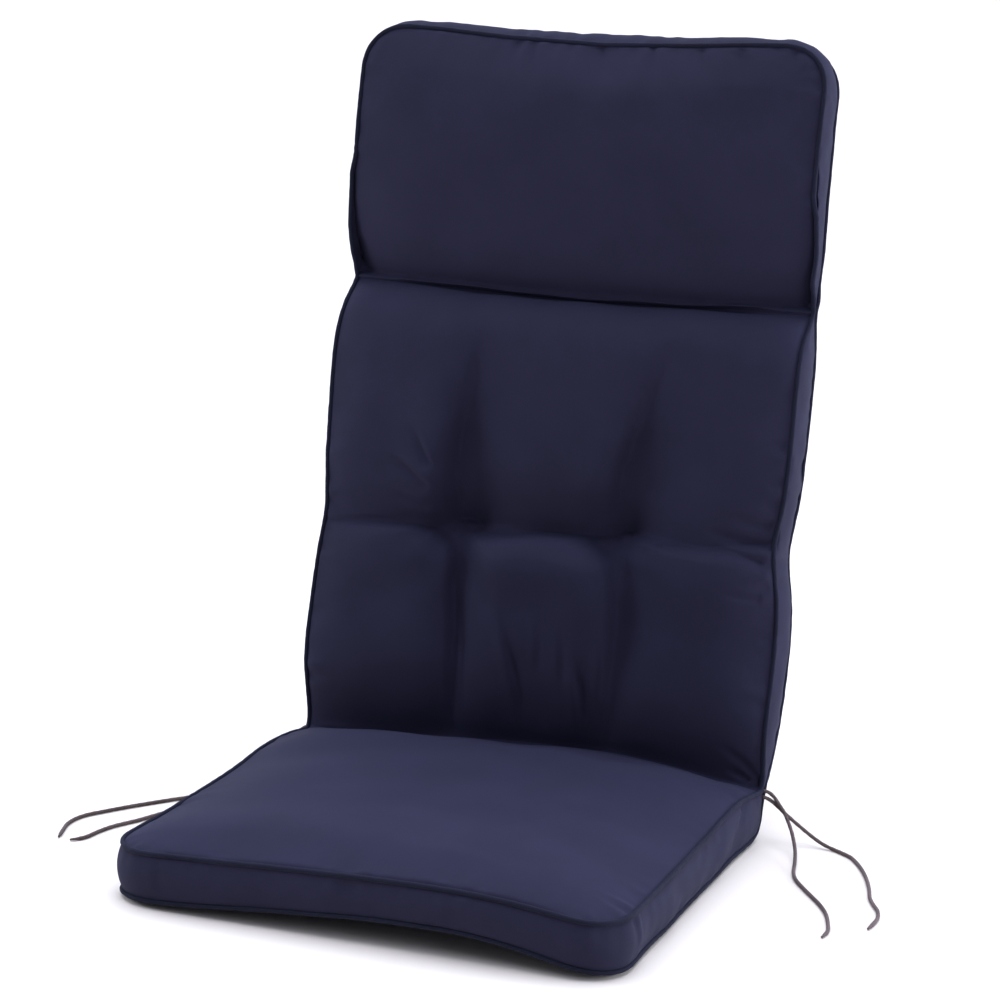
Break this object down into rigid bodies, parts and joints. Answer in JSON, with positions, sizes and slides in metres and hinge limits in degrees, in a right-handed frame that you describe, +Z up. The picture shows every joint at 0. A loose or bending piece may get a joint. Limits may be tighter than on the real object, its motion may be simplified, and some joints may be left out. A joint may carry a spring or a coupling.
{
  "type": "high back chair cushion",
  "caption": "Filled high back chair cushion with a boxed seat, tufted back and head section, piped seams and loose tie ends, standing on its seat.",
  "frame": {"origin": "bottom centre of the padded pieces, on the surface the seat rests on", "axes": "+X to the cushion's left hand side as someone sits in it, seen at the right from the front, +Y from the seat's front edge to the back, +Z up"},
  "size_m": [0.8131, 0.6276, 0.7975],
  "materials": {
    "cover": "smooth plain weave, navy",
    "piping": "navy piping in the cover's cloth",
    "braid": "thin braided cord, grey brown"
  },
  "bodies": {
    "root": {"cushion": "cover", "piping_front": "piping", "piping_rear": "piping", "tie_right_a": "braid", "tie_right_b": "braid", "tie_left_a": "braid", "tie_left_b": "braid"}
  },
  "joints": []
}
